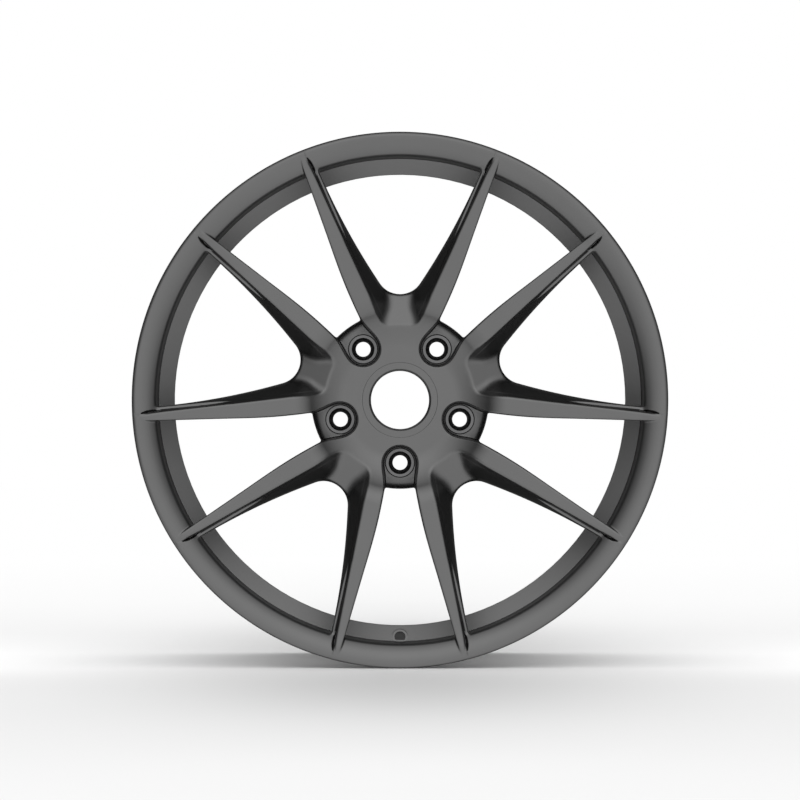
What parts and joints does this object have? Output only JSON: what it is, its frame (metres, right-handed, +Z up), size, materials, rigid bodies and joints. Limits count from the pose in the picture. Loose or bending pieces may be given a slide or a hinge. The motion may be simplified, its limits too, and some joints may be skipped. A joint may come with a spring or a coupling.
{
  "type": "wheel",
  "caption": "Forged racing wheel rim with slim paired spokes, steel-lined lug seats, an open hub bore and a bolted-in inner barrel with a valve hole.",
  "frame": {"origin": "centre of the rim: on the wheel axis, midway between the outer faces of the two flanges", "axes": "+Y along the wheel axis from the front face to the hub side, +Z up with the valve hole at the bottom, +X to the right seen from the front"},
  "size_m": [0.5478, 0.2546, 0.5478],
  "materials": {
    "forged_face": "satin gunmetal coating",
    "forged_barrel": "satin gunmetal coating",
    "seat_steel": "satin gunmetal coating over turned steel",
    "fastener_steel": "black phosphated",
    "spring_steel": "oiled spring steel",
    "ring_alloy": "turned and anodised",
    "sealant": "matte cured sealant"
  },
  "bodies": {
    "root": {"assembly_bolts": "fastener_steel", "bolt_washers": "fastener_steel", "centring_snap_ring": "spring_steel", "face_forging": "forged_face", "hub_centring_ring": "ring_alloy", "index_dowel_1": "spring_steel", "index_dowel_2": "spring_steel", "inner_barrel": "forged_barrel", "lug_insert_ring_1": "spring_steel", "lug_insert_ring_2": "spring_steel", "lug_insert_ring_3": "spring_steel", "lug_insert_ring_4": "spring_steel", "lug_insert_ring_5": "spring_steel", "lug_seat_insert_1": "seat_steel", "lug_seat_insert_2": "seat_steel", "lug_seat_insert_3": "seat_steel", "lug_seat_insert_4": "seat_steel", "lug_seat_insert_5": "seat_steel", "seam_seal": "sealant", "thread_inserts": "spring_steel"}
  },
  "joints": []
}
